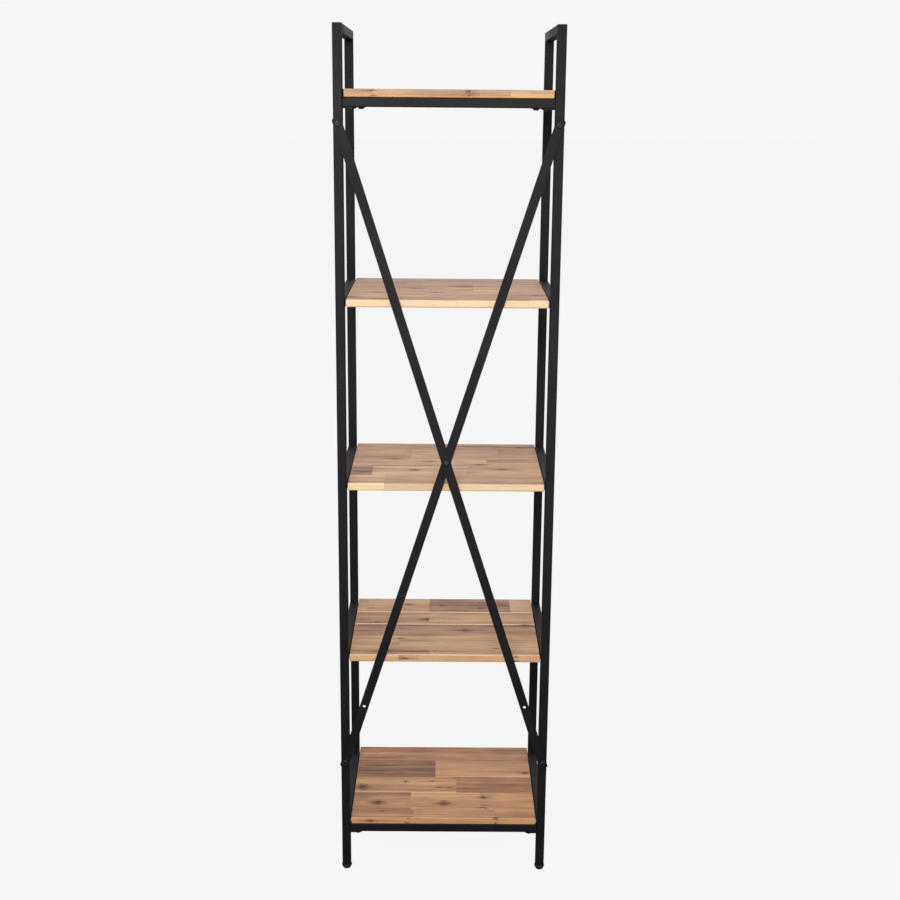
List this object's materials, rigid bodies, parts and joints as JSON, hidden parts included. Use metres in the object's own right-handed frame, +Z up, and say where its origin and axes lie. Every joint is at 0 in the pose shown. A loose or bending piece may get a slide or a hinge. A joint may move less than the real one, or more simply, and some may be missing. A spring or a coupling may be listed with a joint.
{
  "type": "bookcase",
  "caption": "Tall narrow open bookcase: black square-tube side frames with solid wood boards, an X-brace across one face and levelling feet.",
  "frame": {"origin": "on the floor, under the centre of the whole object's bounding box", "axes": "+X to the right when facing the braced front, +Y from the braced front to the open back, +Z up"},
  "size_m": [0.4608, 0.359, 1.838],
  "materials": {
    "frame_black": "matt black powder coat, fine texture",
    "bolt_black": "satin black oxide",
    "zinc_steel": "bright zinc plate",
    "wood": "oiled acacia in edge-glued staves",
    "foot_plastic": "black moulded plastic"
  },
  "bodies": {
    "frame": {"board_screws": "zinc_steel", "bottom_front_crossbar": "frame_black", "bottom_rear_crossbar": "frame_black", "brace_bolts": "bolt_black", "brace_cross_bolt": "bolt_black", "brace_cross_nut": "zinc_steel", "brace_cross_washer": "zinc_steel", "brace_inner": "frame_black", "brace_outer": "frame_black", "brace_rivet_nuts": "zinc_steel", "crossbar_bolts": "bolt_black", "crossbar_rivet_nuts": "zinc_steel", "crossbar_tabs": "frame_black", "foot_plugs": "foot_plastic", "left_front_upright": "frame_black", "left_rear_upright": "frame_black", "left_side_rail_1": "frame_black", "left_side_rail_2": "frame_black", "left_side_rail_3": "frame_black", "left_side_rail_4": "frame_black", "left_side_rail_5": "frame_black", "left_top_rail": "frame_black", "right_front_upright": "frame_black", "right_rear_upright": "frame_black", "right_side_rail_1": "frame_black", "right_side_rail_2": "frame_black", "right_side_rail_3": "frame_black", "right_side_rail_4": "frame_black", "right_side_rail_5": "frame_black", "right_top_rail": "frame_black", "shelf_board_1": "wood", "shelf_board_5": "wood", "shelf_pins": "zinc_steel", "shelf_tabs": "frame_black", "top_front_crossbar": "frame_black", "top_rear_crossbar": "frame_black"},
    "shelf_2": {"shelf_board_2": "wood"},
    "shelf_3": {"shelf_board_3": "wood"},
    "shelf_4": {"shelf_board_4": "wood"},
    "left_front_foot": {"left_front_foot_stud": "zinc_steel", "left_front_foot_pad": "foot_plastic"},
    "left_rear_foot": {"left_rear_foot_stud": "zinc_steel", "left_rear_foot_pad": "foot_plastic"},
    "right_front_foot": {"right_front_foot_stud": "zinc_steel", "right_front_foot_pad": "foot_plastic"},
    "right_rear_foot": {"right_rear_foot_stud": "zinc_steel", "right_rear_foot_pad": "foot_plastic"}
  },
  "joints": [
    {"name": "shelf_2_lift", "type": "slide", "parent": "frame", "child": "shelf_2", "axis": [0, 0, 1], "range_m": [0, 0.035]},
    {"name": "shelf_3_lift", "type": "slide", "parent": "frame", "child": "shelf_3", "axis": [0, 0, 1], "range_m": [0, 0.035]},
    {"name": "shelf_4_lift", "type": "slide", "parent": "frame", "child": "shelf_4", "axis": [0, 0, 1], "range_m": [0, 0.035]},
    {"name": "left_front_foot_level", "type": "slide", "parent": "frame", "child": "left_front_foot", "axis": [0, 0, -1], "range_m": [0, 0.012]},
    {"name": "left_rear_foot_level", "type": "slide", "parent": "frame", "child": "left_rear_foot", "axis": [0, 0, -1], "range_m": [0, 0.012]},
    {"name": "right_front_foot_level", "type": "slide", "parent": "frame", "child": "right_front_foot", "axis": [0, 0, -1], "range_m": [0, 0.012]},
    {"name": "right_rear_foot_level", "type": "slide", "parent": "frame", "child": "right_rear_foot", "axis": [0, 0, -1], "range_m": [0, 0.012]}
  ]
}
